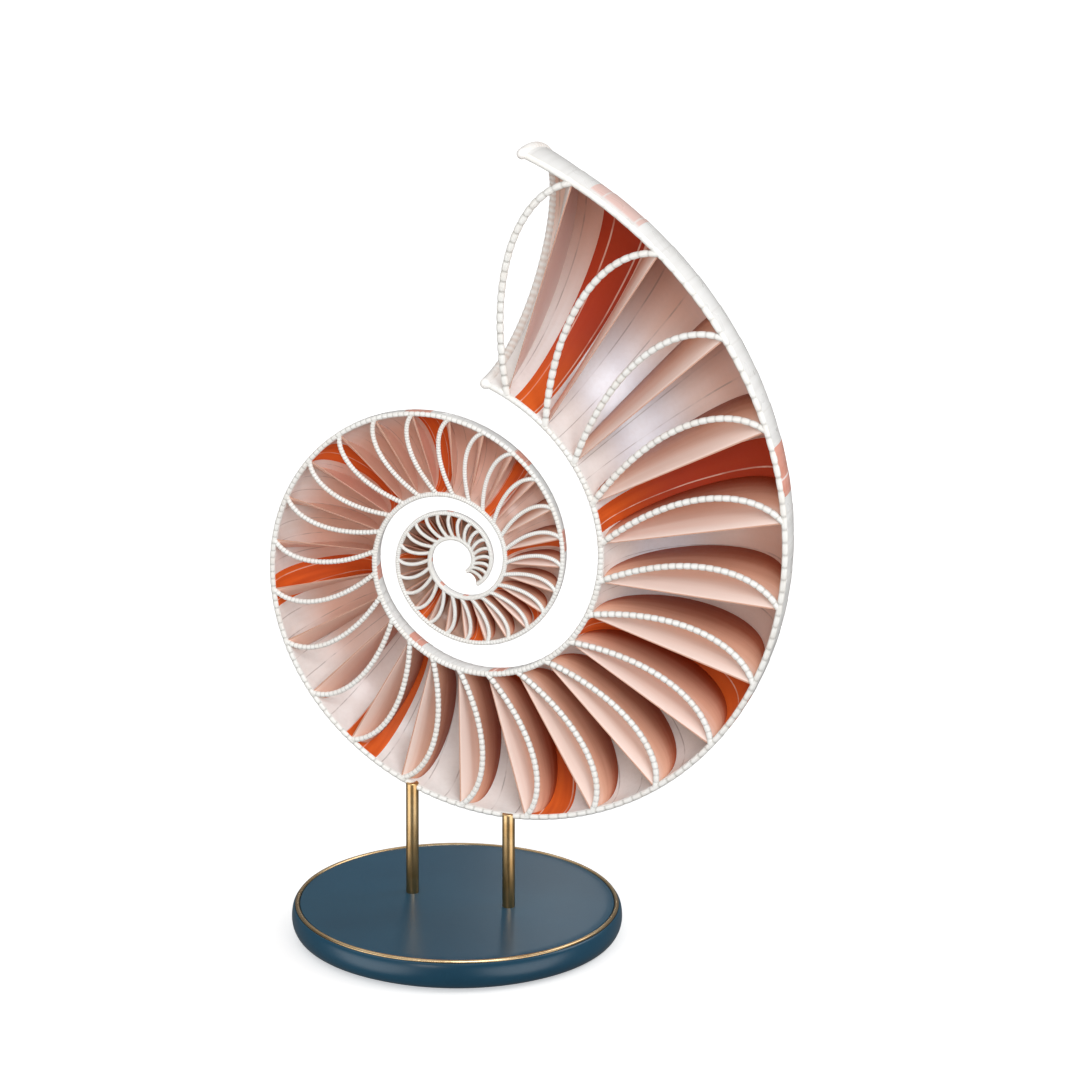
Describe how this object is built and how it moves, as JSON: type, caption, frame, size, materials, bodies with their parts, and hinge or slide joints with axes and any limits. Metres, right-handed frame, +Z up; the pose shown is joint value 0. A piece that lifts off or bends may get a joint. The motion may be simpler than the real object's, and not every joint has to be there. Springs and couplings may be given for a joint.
{
  "type": "halved nautilus shell on a stand",
  "caption": "Chambered shell cut through its middle, showing septa, beaded rims and strands, held upright on brass posts over a round lacquered base.",
  "frame": {"origin": "centre of the base's underside, on the surface that it stands on", "axes": "+Z up, -Y towards the open cut face of the shell, +X towards its large outer whorl"},
  "size_m": [0.1398, 0.083, 0.2114],
  "materials": {
    "shell": "pearly off-white shell, glossy inside, with burnt-orange stripes and warm brown shade in the chambers",
    "lacquer": "glossy petrol-blue lacquer",
    "ring_brass": "polished gold-toned wire",
    "post_brass": "satin turned brass rod"
  },
  "bodies": {
    "root": {"shell": "shell", "base": "lacquer", "gold_ring": "ring_brass", "left_post": "post_brass", "right_post": "post_brass"}
  },
  "joints": []
}
